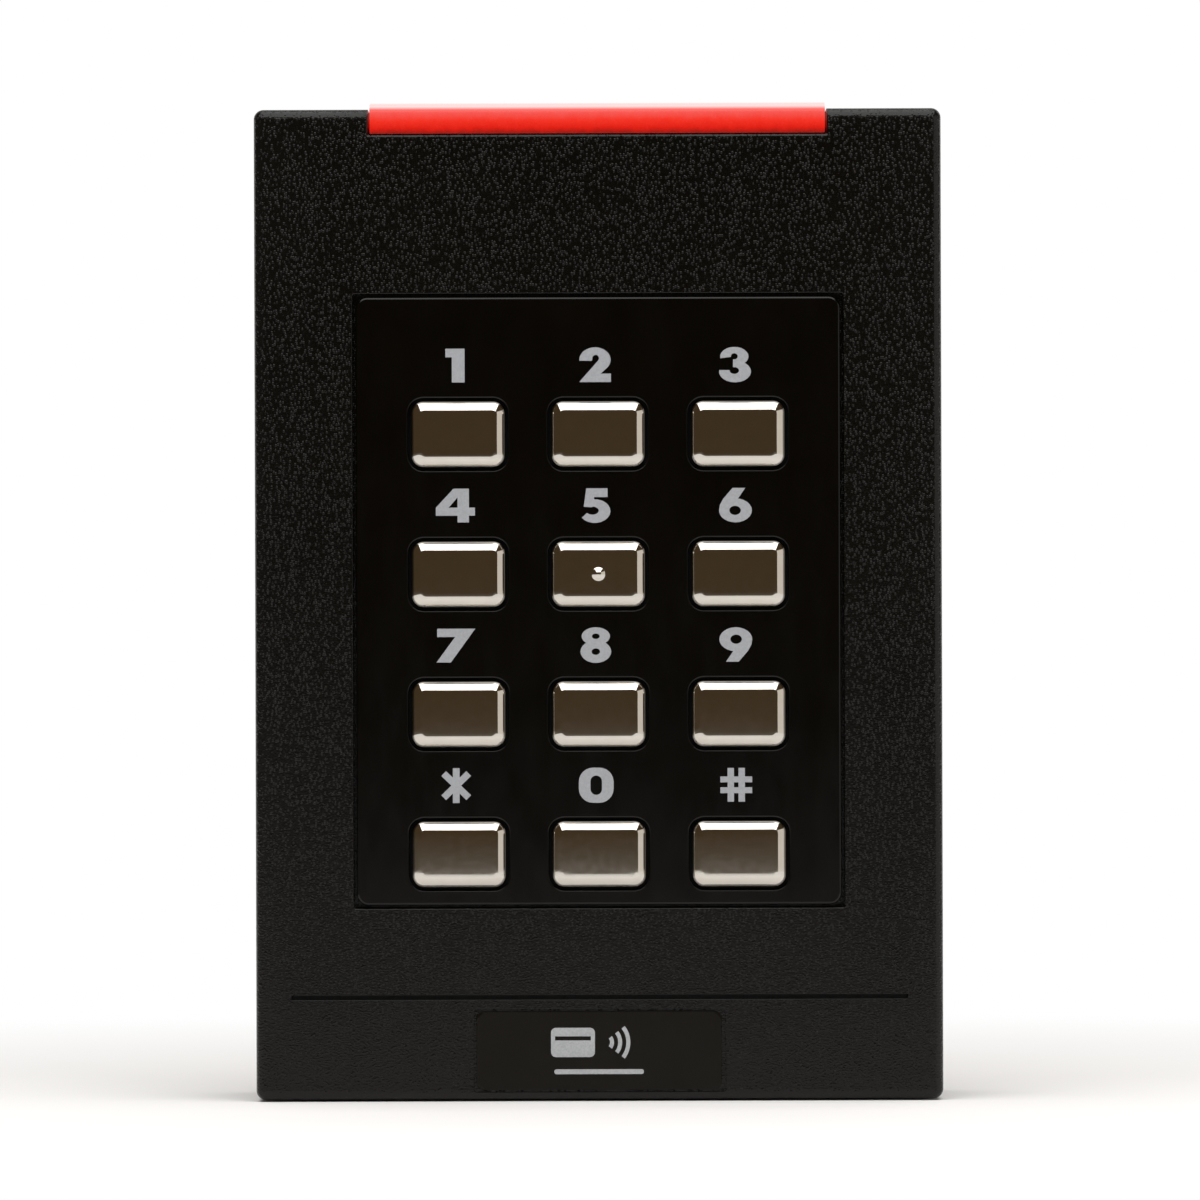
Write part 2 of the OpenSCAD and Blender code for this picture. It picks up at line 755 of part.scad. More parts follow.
// The long-wave antenna: a taped ring of wire round the edge of the main board.
module antenna_coil() color(copper_c) stand()
    ring_slab(coil_outer_w, coil_outer_h, coil_outer_w - 2 * coil_w, coil_outer_h - 2 * coil_w,
              board_front_z + coil_lift, board_front_z + coil_lift + coil_t, main_r + 2, main_r);

// The short-wave antenna: loops etched on the main board under the coil.
module hf_antenna_trace() color(gold_c) stand()
    for (i = [0:trace_count - 1]) {
        in = 2 * (coil_gap + i * trace_pitch);
        ring_slab(coil_outer_w - in, coil_outer_h - in, coil_outer_w - in - 2 * trace_w,
                  coil_outer_h - in - 2 * trace_w, board_front_z, board_front_z + trace_t, main_r,
                  main_r);
    }

module status_leds() color("white") stand() at_leds() {
    box(0, 0, led_w, led_h, board_front_z, board_front_z + led_t - led_lens_t);
    rod(0, 0, led_lens_r, board_front_z + led_t - led_lens_t, board_front_z + led_t);
}

// A square chip with a dimple at its first corner.
module chip(x, y, w) color(chip_c) stand() translate([x, y, board_front_z]) difference() {
    slab(w, w, 0, chip_t, chip_r);
    rod(chip_dot_in - w / 2, w / 2 - chip_dot_in, chip_dot_r, chip_t - chip_dot_t, chip_t + over);
}

module microcontroller() chip(0, chip_y, chip_w);

module rf_chip() chip(rf_x, lower_y, rf_w);

module crystal() color(steel_c) stand() translate([crystal_x, chip_y, 0])
    slab(crystal_w, crystal_l, board_front_z, board_front_z + crystal_t, chip_r);

// Small resistors and capacitors in rows beside the chips.
module smd_passives() color("tan") stand() {
    for (side = [-1, 1], i = [0:5])
        box(side * (smd_side + i * smd_pitch), chip_y - smd_row, smd_w, smd_l, board_front_z,
            board_front_z + smd_t);
    for (i = [-2:2])
        box(i * smd_pitch, chip_y + smd_row, smd_w, smd_l, board_front_z, board_front_z + smd_t);
    for (i = [-2:2])
        box(smd_lower_x, lower_y + i * smd_pitch, smd_l, smd_w, board_front_z, board_front_z + smd_t);
}

module filter_capacitors() color(steel_c) stand()
    for (side = [-1, 1])
        rod(cap_x, lower_y + side * cap_step, cap_r, board_front_z, board_front_z + cap_h);

module power_inductor() color(chip_c) stand() translate([inductor_x, lower_y, 0])
    slab(inductor_w, inductor_w, board_front_z, board_front_z + inductor_t, inductor_r);

module beeper() color(chip_c) stand() difference() {
    rod(beeper_x, lower_y, beeper_r, board_front_z, board_front_z + beeper_h);
    rod(beeper_x, lower_y, beeper_port_r, board_front_z + beeper_h - beeper_port_t,
        board_front_z + beeper_h + over);
}

// The optical sensor that watches the wall through the plate.
module tamper_sensor() color(chip_c) stand() difference() {
    translate([tamper_x, tamper_y, 0])
        slab(tamper_w, tamper_w, board_back_z - tamper_t, board_back_z, chip_r);
    rod(tamper_x, tamper_y, tamper_eye_r, board_back_z - tamper_t - over,
        board_back_z - tamper_t + tamper_eye_t);
}

// The terminal block, with a screw well and a wire entry for each terminal.
module terminal_block() color(terminal_c) stand() difference() {
    box(0, terminal_y, terminal_w, terminal_h, terminal_z, board_back_z);
    at_terminals() {
        rod(0, terminal_y, clamp_head_r + 0.15, terminal_z - over, entry_z + bite);
        translate([-entry_w / 2, terminal_y - terminal_h / 2 - over, entry_z])
            cube([entry_w, entry_depth + over, entry_t]);
    }
}

module terminal_screws() color(steel_c) stand() at_terminals() difference() {
    union() {
        rod(0, terminal_y, clamp_head_r, terminal_z + clamp_sink,
            terminal_z + clamp_sink + clamp_head_h);
        rod(0, terminal_y, clamp_r, terminal_z + clamp_head_h, entry_z + clamp_bite);
    }
    box(0, terminal_y, clamp_slot, 3 * clamp_head_r, terminal_z, terminal_z + 2 * clamp_sink);
}

// The metal cages that clamp the wires.
module terminal_cages() color(gold_c) stand() at_terminals() difference() {
    box(0, cage_y, cage_w, cage_l, entry_z + cage_lift, entry_z + cage_lift + cage_t);
    box(0, cage_y, cage_w - 2 * cage_wall, cage_l + over, entry_z + cage_lift + cage_floor,
        entry_z + cage_lift + cage_t - cage_floor);
    rod(0, terminal_y, clamp_r + pin_fit, entry_z - over, entry_z + over);
}

// The resin that seals the back of the main board, with wells left open for the rear parts.
module potting_fill() color(potting_c) stand() difference() {
    slab(cavity_w - 2 * pin_fit, cavity_h - 2 * pin_fit, potting_z, board_back_z, cavity_r);
    box(0, terminal_y, terminal_w + 2 * seat_gap, terminal_h + 2 * seat_gap, potting_z - over,
        board_back_z + over);
    box(tamper_x, tamper_y, tamper_w + 2 * seat_gap, tamper_w + 2 * seat_gap, potting_z - over,
        board_back_z + over);
    at_posts() rod(0, 0, post_r, potting_z - over, board_back_z + over);
    box(0, -cavity_h / 2, boss_w + 2 * boss_clear, 2 * (tab_bottom + tab_l + boss_clear + cavity_h / 2),
        potting_z - over, board_back_z + over);
}

// ---------------------------------------------------------------------------------------------
// Mounting plate and its fasteners
// ---------------------------------------------------------------------------------------------

// A hook at the plate's top, which the housing's rib hangs behind.
module plate_hook(x) {
    translate([x - hook_w / 2, stem_top - stem_t, plate_t - bite])
        cube([hook_w, stem_t, hook_z - plate_t + bite + hook_t]);
    translate([x - hook_w / 2, stem_top - stem_t, hook_z])
        cube([hook_w, hook_top - stem_top + stem_t, hook_t]);
}

// The plate that is screwed to the wall box, with two hooks and a tab for the security screw.
module mounting_plate() color(plate_c) stand() difference() {
    union() {
        slab(plate_w, plate_h, 0, plate_t, plate_r);
        for (side = [-1, 1]) plate_hook(side * hook_x);
        translate([-tab_w / 2, tab_bottom, plate_t - bite]) cube([tab_w, tab_l, tab_top - plate_t + bite]);
    }
    translate([0, cable_y, 0]) slab(cable_w, cable_h, -over, plate_t + over, cable_r);
    for (side = [-1, 1]) {
        rod(0, side * gang_spacing / 2, mount_hole_r, -over, plate_t + over);
        rod(side * round_spacing / 2, 0, mount_hole_r, -over, plate_t + over);
    }
    rod(tamper_x, tamper_y, tamper_window_r, -over, plate_t + over);
    rod_y(insert_r + insert_fit, tab_bottom - over, tab_bottom + insert_l, screw_z);
}

module threaded_insert() color(gold_c) stand() difference() {
    rod_y(insert_r, tab_bottom, tab_bottom + insert_l, screw_z);
    rod_y(insert_bore, tab_bottom - over, tab_bottom + insert_l + over, screw_z);
}

// The security screw, whose socket has a pin in its middle.
module cover_screw() color(steel_c) stand() {
    seat = -body_h / 2 + cover_sink;
    difference() {
        union() {
            rod_y(cover_head_r, seat - cover_head_h, seat, screw_z);
            rod_y(cover_screw_r, seat - bite, seat + cover_screw_l, screw_z);
        }
        translate([0, seat - cover_head_h / 2, screw_z]) rotate([90, 0, 0])
            cylinder(r = cover_head_r / 2, h = cover_head_h / 2 + over, $fn = 6);
    }
    rod_y(cover_head_r / 8, seat - cover_head_h, seat - bite, screw_z);
}

front_housing();
light_bar();
keypad_bezel();
bezel_gasket();
key_legends();
label_plate();
label_emblem();
keypad_mat();
dome_skirts();
contact_pads();
keypad_board();
keypad_screws();
board_socket();
board_header();
header_pins();
main_board();
board_screws();
antenna_coil();
hf_antenna_trace();
status_leds();
microcontroller();
rf_chip();
crystal();
smd_passives();
filter_capacitors();
power_inductor();
beeper();
tamper_sensor();
terminal_block();
terminal_screws();
terminal_cages();
potting_fill();
mounting_plate();
threaded_insert();
cover_screw();
for (i = [0:columns * rows - 1]) keycap(i);
for (i = [0:columns * rows - 1]) plunger(i);
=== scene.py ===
"""Looks of the keypad access reader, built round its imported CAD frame."""
import math

import bmesh
import bpy
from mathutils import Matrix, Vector
from mathutils.geometry import tessellate_polygon


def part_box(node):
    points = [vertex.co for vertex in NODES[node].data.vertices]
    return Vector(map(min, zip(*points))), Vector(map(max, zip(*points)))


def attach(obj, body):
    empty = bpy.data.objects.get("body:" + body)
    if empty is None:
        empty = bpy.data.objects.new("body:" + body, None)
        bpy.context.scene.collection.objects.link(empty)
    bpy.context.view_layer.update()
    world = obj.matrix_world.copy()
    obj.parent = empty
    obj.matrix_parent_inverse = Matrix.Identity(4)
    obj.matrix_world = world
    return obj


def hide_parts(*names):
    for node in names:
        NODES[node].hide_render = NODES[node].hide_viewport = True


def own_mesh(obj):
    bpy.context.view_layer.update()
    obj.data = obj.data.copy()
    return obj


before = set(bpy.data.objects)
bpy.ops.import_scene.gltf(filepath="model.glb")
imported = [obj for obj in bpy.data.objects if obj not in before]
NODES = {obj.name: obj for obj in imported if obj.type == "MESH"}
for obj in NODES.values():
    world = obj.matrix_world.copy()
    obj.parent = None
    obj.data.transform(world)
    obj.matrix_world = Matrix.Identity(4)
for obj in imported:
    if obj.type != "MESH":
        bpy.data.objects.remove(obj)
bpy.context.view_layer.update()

MM = 0.001
KEYS = ["1", "2", "3", "4", "5", "6", "7", "8", "9", "star", "0", "hash"]


# ---------------------------------------------------------------------------------------------
# Shapes are drawn in millimetres: x to the right, y up the wall, z out from the wall
# ---------------------------------------------------------------------------------------------

def point(x, y, z):
    """A point of the reader's own directions in the row frame."""
    return Vector((x, -z, y)) * MM


class Extent:
    """A CAD node's box in millimetres."""

    def __init__(self, node):
        low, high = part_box(node)
        self.w = (high.x - low.x) / MM
        self.h = (high.z - low.z) / MM
        self.x = (high.x + low.x) / 2 / MM
        self.y = (high.z + low.z) / 2 / MM
        self.back = -high.y / MM
        self.front = -low.y / MM


def mixed(one, two, part):
    """The point that lies part of the way from one to two."""
    return (one[0] + (two[0] - one[0]) * part, one[1] + (two[1] - one[1]) * part)


def round_rect(w, h, r, steps=8, runs=1):
    """Outline of a rectangle with rounded corners; each straight side has runs parts."""
    r = max(r, 0.01)
    corners = [(w / 2 - r, h / 2 - r, 0), (r - w / 2, h / 2 - r, 90),
               (r - w / 2, r - h / 2, 180), (w / 2 - r, r - h / 2, 270)]
    outline = []
    for number, (cx, cy, start) in enumerate(corners):
        for i in range(steps + 1):
            turn = math.radians(start + 90 * i / steps)
            outline.append((cx + r * math.cos(turn), cy + r * math.sin(turn)))
        nx, ny, begin = corners[(number + 1) % 4]
        turn = math.radians(begin)
        goal = (nx + r * math.cos(turn), ny + r * math.sin(turn))
        last = outline[-1]
        outline += [mixed(last, goal, i / runs) for i in range(1, runs)]
    return outline


def circle(r, steps=48):
    turns = [math.tau * i / steps for i in range(steps)]
    return [(r * math.cos(turn), r * math.sin(turn)) for turn in turns]


def rounding(radius, steps):
    """Pairs of inset and drop along a quarter round, from the side up to the face."""
    pairs = []
    for i in range(steps + 1):
        turn = math.pi / 2 * i / steps
        pairs.append((radius * (1 - math.cos(turn)), radius * (1 - math.sin(turn))))
    return pairs


class Builder:
    """Collects rings of points and joins them into a closed skin."""

    def __init__(self):
        self.bm = bmesh.new()
        self.flats = set()

    def ring(self, outline, z, x=0, y=0):
        return [self.bm.verts.new(point(px + x, py + y, z)) for px, py in outline]

    def strip(self, one, two):
        for i in range(len(one)):
            self.bm.faces.new((one[i - 1], one[i], two[i], two[i - 1]))

    def loft(self, rings):
        for one, two in zip(rings, rings[1:]):
            self.strip(one, two)

    def cap(self, ring, holes=()):
        """Closes a ring with a flat face, which stays flat beside its rounded edge."""
        if not holes:
            self.flats.add(self.bm.faces.new(ring))
            return
        loops = [ring] + list(holes)
        flat = [v for loop in loops for v in loop]
        for a, b, c in tessellate_polygon([[v.co for v in loop] for loop in loops]):
            if len({a, b, c}) == 3:
                self.flats.add(self.bm.faces.new((flat[a], flat[b], flat[c])))

    def mesh(self, name):
        """The finished mesh, with sharp edges round its flat faces."""
        bmesh.ops.recalc_face_normals(self.bm, faces=self.bm.faces)
        for edge in self.bm.edges:
            edge.smooth = len({face in self.flats for face in edge.link_faces}) == 1
        data = bpy.data.meshes.new(name)
        self.bm.to_mesh(data)
        self.bm.free()
        return data


def linked(name, data):
    piece = bpy.data.objects.new(name, data)
    bpy.context.scene.collection.objects.link(piece)
    return piece


def shade(data, angle=30):
    """Smooth faces with sharp edges where the surface turns by more than the angle."""
    bm = bmesh.new()
    bm.from_mesh(data)
    for face in bm.faces:
        face.smooth = True
    for edge in bm.edges:
        if len(edge.link_faces) != 2 or edge.calc_face_angle(0) > math.radians(angle):
            edge.smooth = False
    bm.to_mesh(data)
    bm.free()


def store(data, name, value):
    """Stores a value on each point of a mesh for its material."""
    attribute = data.attributes.new(name, "FLOAT", "POINT")
    attribute.data.foreach_set("value", [value(v.co) for v in data.vertices])


def finish_piece(piece, slot, body, nodes, weighted=True):
    """Gives a piece its material, its body and the CAD nodes that it stands for."""
    piece.data.materials.clear()
    piece.data.materials.append(FINISHES[slot])
    if weighted:
        modifier = piece.modifiers.new("normals", "WEIGHTED_NORMAL")
        modifier.mode = "FACE_AREA"
        modifier.weight = 90
        modifier.keep_sharp = True
    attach(piece, body)
    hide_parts(*nodes)


WELD = 1e-6
COPLANAR = math.radians(0.6)
SOFTENED_ANGLE = math.radians(32)


def welded(node, name):
    """A copy of a CAD node's mesh with its points joined and its flat faces whole."""
    bm = bmesh.new()
    bm.from_mesh(NODES[node].data)
    bmesh.ops.remove_doubles(bm, verts=bm.verts, dist=WELD)
    bmesh.ops.dissolve_limit(bm, angle_limit=COPLANAR, verts=bm.verts, edges=bm.edges)
    data = bpy.data.meshes.new(name)
    bm.to_mesh(data)
    bm.free()
    return data


def softened(node, name, width):
    """A copy of a CAD node's mesh with its sharp edges rounded."""
    data = welded(node, name)
    bm = bmesh.new()
    bm.from_mesh(data)
    sharp = [e for e in bm.edges if e.calc_face_angle(0) > SOFTENED_ANGLE]
    bmesh.ops.bevel(bm, geom=sharp, offset=width * MM, offset_type="OFFSET", segments=2,
                    profile=0.6, affect="EDGES", clamp_overlap=True)
    bmesh.ops.triangulate(bm, faces=[f for f in bm.faces if len(f.verts) > 4])
    bm.to_mesh(data)
    bm.free()
    shade(data)
    return linked(name, data)


def apply_boolean(piece, tool, operation):
    """Cuts or trims a piece with a tool, which is used up."""
    modifier = piece.modifiers.new("cut", "BOOLEAN")
    modifier.operation = operation
    modifier.object = tool
    modifier.solver = "EXACT"
    graph = bpy.context.evaluated_depsgraph_get()
    data = bpy.data.meshes.new_from_object(piece.evaluated_get(graph))
    piece.modifiers.clear()
    piece.data = data
    bpy.data.objects.remove(tool)


def flared_tool(x, y, w, h, r, front, radius):
    """A cutter that rounds the front edge of an opening."""
    build = Builder()
    steps = 4
    rings = []
    for inset, drop in rounding(radius, 5):
        outline = round_rect(w + 2 * inset, h + 2 * inset, r + inset, steps)
        rings.append(build.ring(outline, front - drop, x, y))
    mouth = round_rect(w + 2 * radius, h + 2 * radius, r + radius, steps)
    rings.append(build.ring(mouth, front + 1, x, y))
    build.loft(rings)
    build.cap(rings[0])
    build.cap(rings[-1])
    return linked("tool", build.mesh("tool"))


# ---------------------------------------------------------------------------------------------
# Materials
# ---------------------------------------------------------------------------------------------

class Graph:
    """A node tree and short ways to add nodes to it."""

    def __init__(self, tree):
        self.tree = tree

    def add(self, kind, **settings):
        node = self.tree.nodes.new(kind)
        for key, value in settings.items():
            setattr(node, key, value)
        return node

    def link(self, out, into):
        self.tree.links.new(out, into)

    def remap(self, value, low, high, to_low, to_high, kind="LINEAR"):
        node = self.add("ShaderNodeMapRange", interpolation_type=kind)
        node.inputs["From Min"].default_value = low
        node.inputs["From Max"].default_value = high
        node.inputs["To Min"].default_value = to_low
        node.inputs["To Max"].default_value = to_high
        self.link(value, node.inputs["Value"])
        return node.outputs["Result"]

    def math(self, operation, one, two):
        node = self.add("ShaderNodeMath", operation=operation)
        for socket, value in zip(node.inputs, (one, two)):
            if isinstance(value, (int, float)):
                socket.default_value = value
            else:
                self.link(value, socket)
        return node.outputs["Value"]

    def blend(self, factor, one, two):
        """A colour between one and two, which are colours or outputs."""
        node = self.add("ShaderNodeMix", data_type="RGBA")
        self.link(factor, node.inputs["Factor"])
        for socket, value in ((node.inputs[6], one), (node.inputs[7], two)):
            if isinstance(value, tuple):
                socket.default_value = (*value, 1)
            else:
                self.link(value, socket)
        return node.outputs[2]


class Nodes(Graph):
    """A material's node tree; sizes are in millimetres."""

    def __init__(self, name):
        self.material = bpy.data.materials.new(name)
        self.material.use_nodes = True
        super().__init__(self.material.node_tree)
        self.shader = self.tree.nodes["Principled BSDF"]
        self.place = self.add("ShaderNodeTexCoord").outputs["Object"]

    def noise(self, size, detail=3, stretch=(1, 1, 1)):
        """Noise whose features are about size millimetres across."""
        node = self.add("ShaderNodeTexNoise")
        node.inputs["Scale"].default_value = 1 / (size * MM)
        node.inputs["Detail"].default_value = detail
        self.link(self.stretched(stretch), node.inputs["Vector"])
        return node.outputs["Fac"]

    def cells(self, size, smooth):
        """Rounded grains about size millimetres across."""
        node = self.add("ShaderNodeTexVoronoi", feature="SMOOTH_F1")
        node.inputs["Scale"].default_value = 1 / (size * MM)
        node.inputs["Smoothness"].default_value = smooth
        self.link(self.place, node.inputs["Vector"])
        return node.outputs["Distance"]

    def stripes(self, direction, size, distortion):
        """Wavy bands about size millimetres apart."""
        node = self.add("ShaderNodeTexWave", bands_direction=direction)
        node.inputs["Scale"].default_value = 1 / (size * MM) / 3
        node.inputs["Distortion"].default_value = distortion
        self.link(self.place, node.inputs["Vector"])
        return node.outputs["Fac"]

    def stretched(self, stretch):
        if stretch == (1, 1, 1):
            return self.place
        node = self.add("ShaderNodeMapping")
        node.inputs["Scale"].default_value = stretch
        self.link(self.place, node.inputs["Vector"])
        return node.outputs["Vector"]

    def attribute(self, name):
        """A value stored on a piece's points, 0 where it has none."""
        return self.add("ShaderNodeAttribute", attribute_name=name).outputs["Fac"]

    def bump(self, height, depth):
        """Raises the surface by up to depth millimetres."""
        node = self.add("ShaderNodeBump")
        node.inputs["Strength"].default_value = 1
        node.inputs["Distance"].default_value = depth * MM
        self.link(height, node.inputs["Height"])
        return node.outputs["Normal"]

    def set(self, **values):
        """Sets or links the shader's sockets; underscores stand for spaces."""
        for key, value in values.items():
            socket = self.shader.inputs[key.replace("_", " ")]
            if isinstance(value, bpy.types.NodeSocket):
                self.link(value, socket)
            elif isinstance(value, tuple):
                socket.default_value = (*value, 1)
            else:
                socket.default_value = value
        return self.material


def moulded(name, colour, tint, rough, grain, depth, level, patch):
    """Moulded plastic, rubber or resin: soft colour patches and a fine grain."""
    n = Nodes(name)
    patches = n.remap(n.noise(patch, 4), 0.35, 0.65, 0, 1)
    return n.set(
        Base_Color=n.blend(patches, colour, tint),
        Roughness=n.remap(n.noise(grain * 3, 4), 0.3, 0.7, rough[0], rough[1]),
        Normal=n.bump(n.noise(grain, 3), depth),
        Specular_IOR_Level=level)


def metal(name, colour, tint, rough, stretch=(1, 1, 1), scratch=0.004):
    """Metal with faint stains and fine tool marks."""
    n = Nodes(name)
    patches = n.remap(n.noise(3, 4), 0.35, 0.7, 0, 1)
    marks = n.noise(0.12, 2, stretch)
    return n.set(
        Base_Color=n.blend(patches, colour, tint),
        Metallic=1.0,
        Roughness=n.remap(n.noise(0.8, 5, stretch), 0.3, 0.7, rough[0], rough[1]),
        Normal=n.bump(marks, scratch))


def housing_finish():
    """Dark pebbled plastic: paler and smoother on worn edges; painted shade makes it darker and
    dull in the groove.
    """
    n = Nodes("housing_moulding")
    grains = n.remap(n.cells(0.38, 0.25), 0.10, 0.48, 1, 0, "SMOOTHSTEP")
    pebble = n.math("ADD", grains, n.math("MULTIPLY", n.noise(0.24, 2, (0.8, 1, 1.1)), 0.5))
    broad = n.remap(n.noise(14, 3), 0.35, 0.65, 0, 1)
    worn = n.attribute("worn")
    # Painted shade: inside the groove the colour turns near black and the roughness rises,
    # standing in for the shade that falls there.
    groove_shade = n.attribute("groove_shade")
    face = n.blend(broad, (0.0012, 0.0009, 0.0004), (0.0018, 0.0015, 0.0008))
    edge = n.blend(worn, face, (0.006, 0.0055, 0.005))
    satin = n.remap(n.noise(0.5, 3), 0.3, 0.7, 0.17, 0.23)
    rough = n.math("SUBTRACT", satin, n.math("MULTIPLY", worn, 0.05))
    return n.set(
        Base_Color=n.blend(groove_shade, edge, (0.0006, 0.0005, 0.0003)),
        Roughness=n.math("ADD", rough, n.math("MULTIPLY", groove_shade, 0.5)),
        Normal=n.bump(pebble, 0.036),
        Specular_IOR_Level=0.26)


def bezel_finish():
    """Smooth satin black plastic."""
    n = Nodes("bezel_satin")
    broad = n.remap(n.noise(9, 3), 0.35, 0.65, 0, 1)
    smear = n.noise(2.5, 5, (1, 1, 0.4))
    return n.set(
        Base_Color=n.blend(broad, (0.0010, 0.0007, 0.0003), (0.0015, 0.0011, 0.0005)),
        Roughness=n.remap(smear, 0.3, 0.7, 0.13, 0.18),
        Normal=n.bump(n.noise(0.18, 3), 0.0012),
        Specular_IOR_Level=0.26)


def key_finish():
    """Polished warm plating with faint finger wear; the flange behind the bezel gets painted
    shade: dark, dull and not metallic.
    """
    n = Nodes("key_chrome")
    # Painted shade: the flange sitting in the gap behind the bezel is coloured near black instead
    # of plated.
    flange_shade = n.attribute("flange_shade")
    cloud = n.remap(n.noise(1.6, 4), 0.3, 0.7, 0, 1)
    plated = n.blend(cloud, (0.65, 0.61, 0.55), (0.62, 0.58, 0.52))
    polish = n.remap(n.noise(0.9, 5), 0.3, 0.7, 0.055, 0.08)
    return n.set(
        Base_Color=n.blend(flange_shade, plated, (0.004, 0.004, 0.004)),
        Metallic=n.math("SUBTRACT", 1.0, flange_shade),
        Roughness=n.math("ADD", polish, n.math("MULTIPLY", flange_shade, 0.5)),
        Normal=n.bump(n.noise(0.25, 3, (1, 1, 3)), 0.0002),
        Specular_IOR_Level=0.3)


def light_finish(bottom, top, lip):
    """Red plastic that glows as if lit from behind, with a painted highlight: pale emission along
    the lip at its top and front.
    """
    n = Nodes("light_pipe_red")
    split = n.add("ShaderNodeSeparateXYZ")
    n.link(n.place, split.inputs["Vector"])
    height = n.remap(split.outputs["Z"], bottom * MM, top * MM, 0, 1)
    mottle = n.remap(n.noise(1.2, 3), 0.3, 0.7, -0.03, 0.03)
    ramp = n.add("ShaderNodeValToRGB")
    steps = [(0.0, (0.01, 0.0, 0.0)), (0.05, (0.06, 0.0, 0.0)), (0.18, (0.42, 0.001, 0.0)),
             (0.43, (0.59, 0.022, 0.012)), (0.72, (0.62, 0.10, 0.09))]
    elements = ramp.color_ramp.elements
    for element, (position, colour) in zip((elements[0], elements[1]), (steps[0], steps[-1])):
        element.position = position
        element.color = (*colour, 1)
    for position, colour in steps[1:-1]:
        elements.new(position).color = (*colour, 1)
    n.link(n.math("ADD", height, mottle), ramp.inputs["Fac"])
    # Painted highlight: the glow turns pale where the top meets the front, where the overhead
    # light would reflect.
    high = n.remap(height, 0.76, 0.90, 0, 1, "SMOOTHSTEP")
    front = n.remap(split.outputs["Y"], (1.9 - lip) * MM, (0.9 - lip) * MM, 0, 1, "SMOOTHSTEP")
    glow = n.blend(n.math("MULTIPLY", high, front), ramp.outputs["Color"], (0.75, 0.70, 0.69))
    return n.set(
        Base_Color=n.blend(n.noise(2, 2), (0.28, 0.008, 0.004), (0.33, 0.012, 0.006)),
        Roughness=n.remap(n.noise(0.4, 3), 0.3, 0.7, 0.22, 0.30),
        Normal=n.bump(n.noise(0.3, 2), 0.001),
        Emission_Color=glow,
        Emission_Strength=1.0,
        Specular_IOR_Level=0.2)


def print_finish(name, colour, tint):
    """Screen print: flat ink with a slight mottle."""
    n = Nodes(name)
    return n.set(
        Base_Color=n.blend(n.remap(n.noise(0.25, 4), 0.35, 0.65, 0, 1), colour, tint),
        Roughness=n.remap(n.noise(0.5, 3), 0.3, 0.7, 0.5, 0.65),
        Normal=n.bump(n.noise(0.12, 2), 0.002),
        Specular_IOR_Level=0.3)


def board_finish():
    """Green solder mask over woven glass."""
    n = Nodes("board_mask")
    weave = n.math("MULTIPLY", n.stripes("X", 1.6, 0.6), n.stripes("Z", 1.6, 0.6))
    return n.set(
        Base_Color=n.blend(weave, (0.006, 0.09, 0.035), (0.010, 0.13, 0.050)),
        Roughness=n.remap(n.noise(1.5, 3), 0.3, 0.7, 0.25, 0.4),
        Normal=n.bump(weave, 0.01),
        Coat_Weight=0.4)


def coil_finish():
    """Varnished copper wire under tape, with the lie of the turns."""
    n = Nodes("coil_winding")
    turns = n.stripes("Y", 0.3, 0.8)
    return n.set(
        Base_Color=n.blend(turns, (0.30, 0.10, 0.03), (0.62, 0.28, 0.11)),
        Metallic=0.8,
        Roughness=n.remap(turns, 0, 1, 0.5, 0.28),
        Normal=n.bump(turns, 0.06))


LIGHT_H = 3.8

light_box = Extent("light_bar")
housing_box = Extent("front_housing")
light_top = light_box.y + light_box.h / 2
light_low = light_top - LIGHT_H

